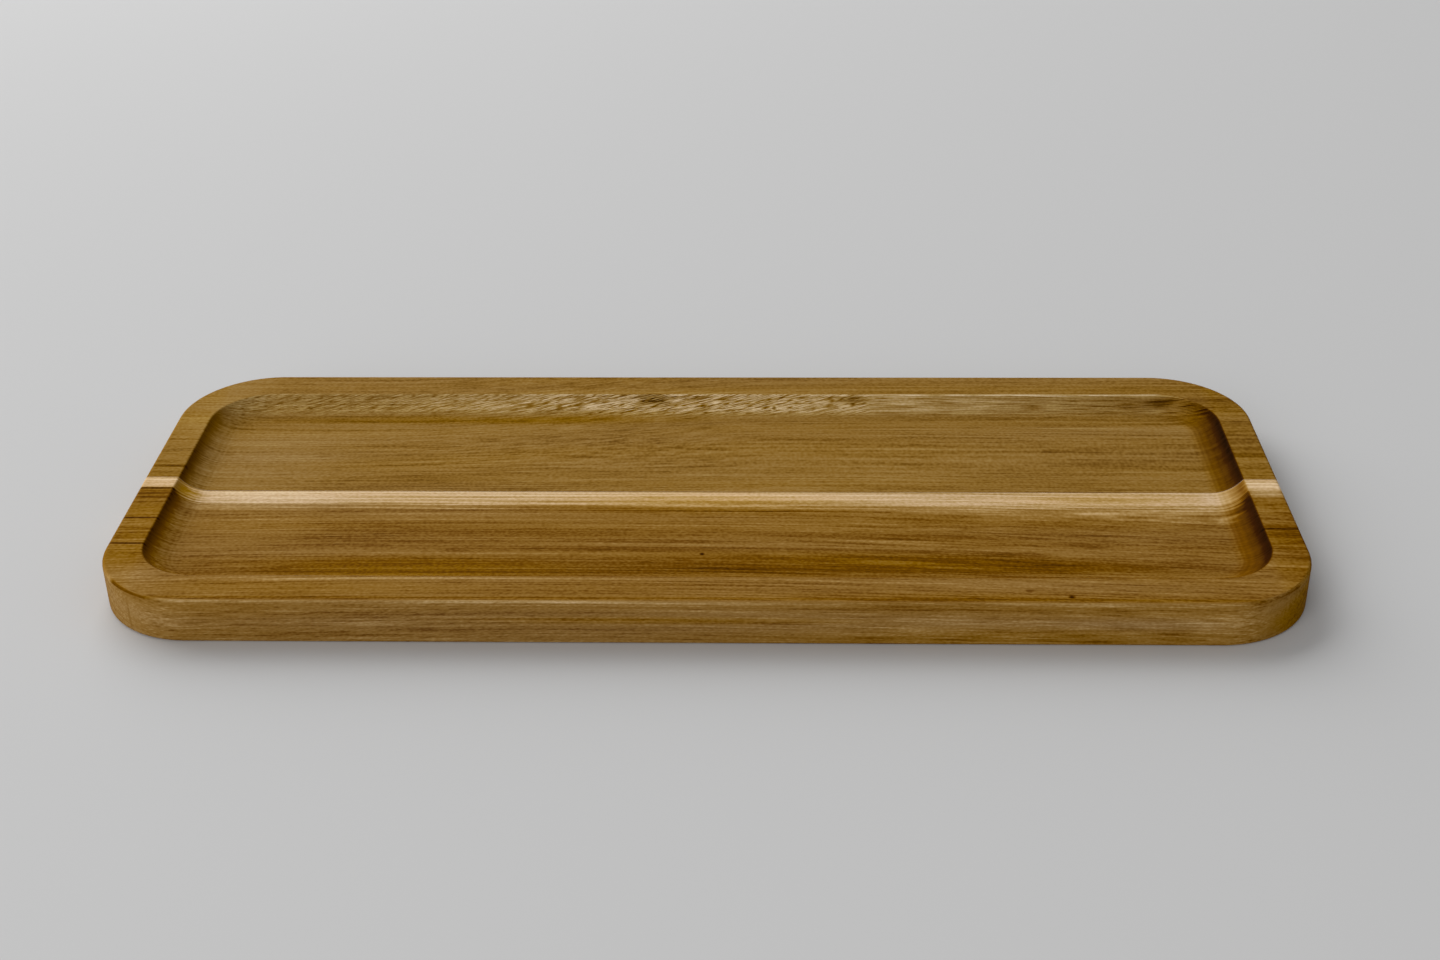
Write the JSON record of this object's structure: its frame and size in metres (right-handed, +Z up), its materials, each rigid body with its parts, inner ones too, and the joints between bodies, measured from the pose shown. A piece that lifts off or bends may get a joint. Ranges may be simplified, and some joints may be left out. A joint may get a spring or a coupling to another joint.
{
  "type": "pen tray",
  "caption": "Shallow oblong wooden pen tray with rounded corners, a flat rim and a coved pocket, routed from a board of edge-glued staves.",
  "frame": {"origin": "centre of the underside", "axes": "+X along the length and the grain, +Y to the rear long edge, +Z up out of the pocket"},
  "size_m": [0.3, 0.12, 0.012],
  "materials": {
    "rear_wood": "oiled brown heartwood, sanded, dull",
    "front_wood": "oiled brown heartwood with a pale sapwood edge, sanded, dull",
    "wood_glue": "cured wood glue, seen only as a hairline"
  },
  "bodies": {
    "root": {"rear_stave": "rear_wood", "front_stave": "front_wood", "glue_line": "wood_glue"}
  },
  "joints": []
}
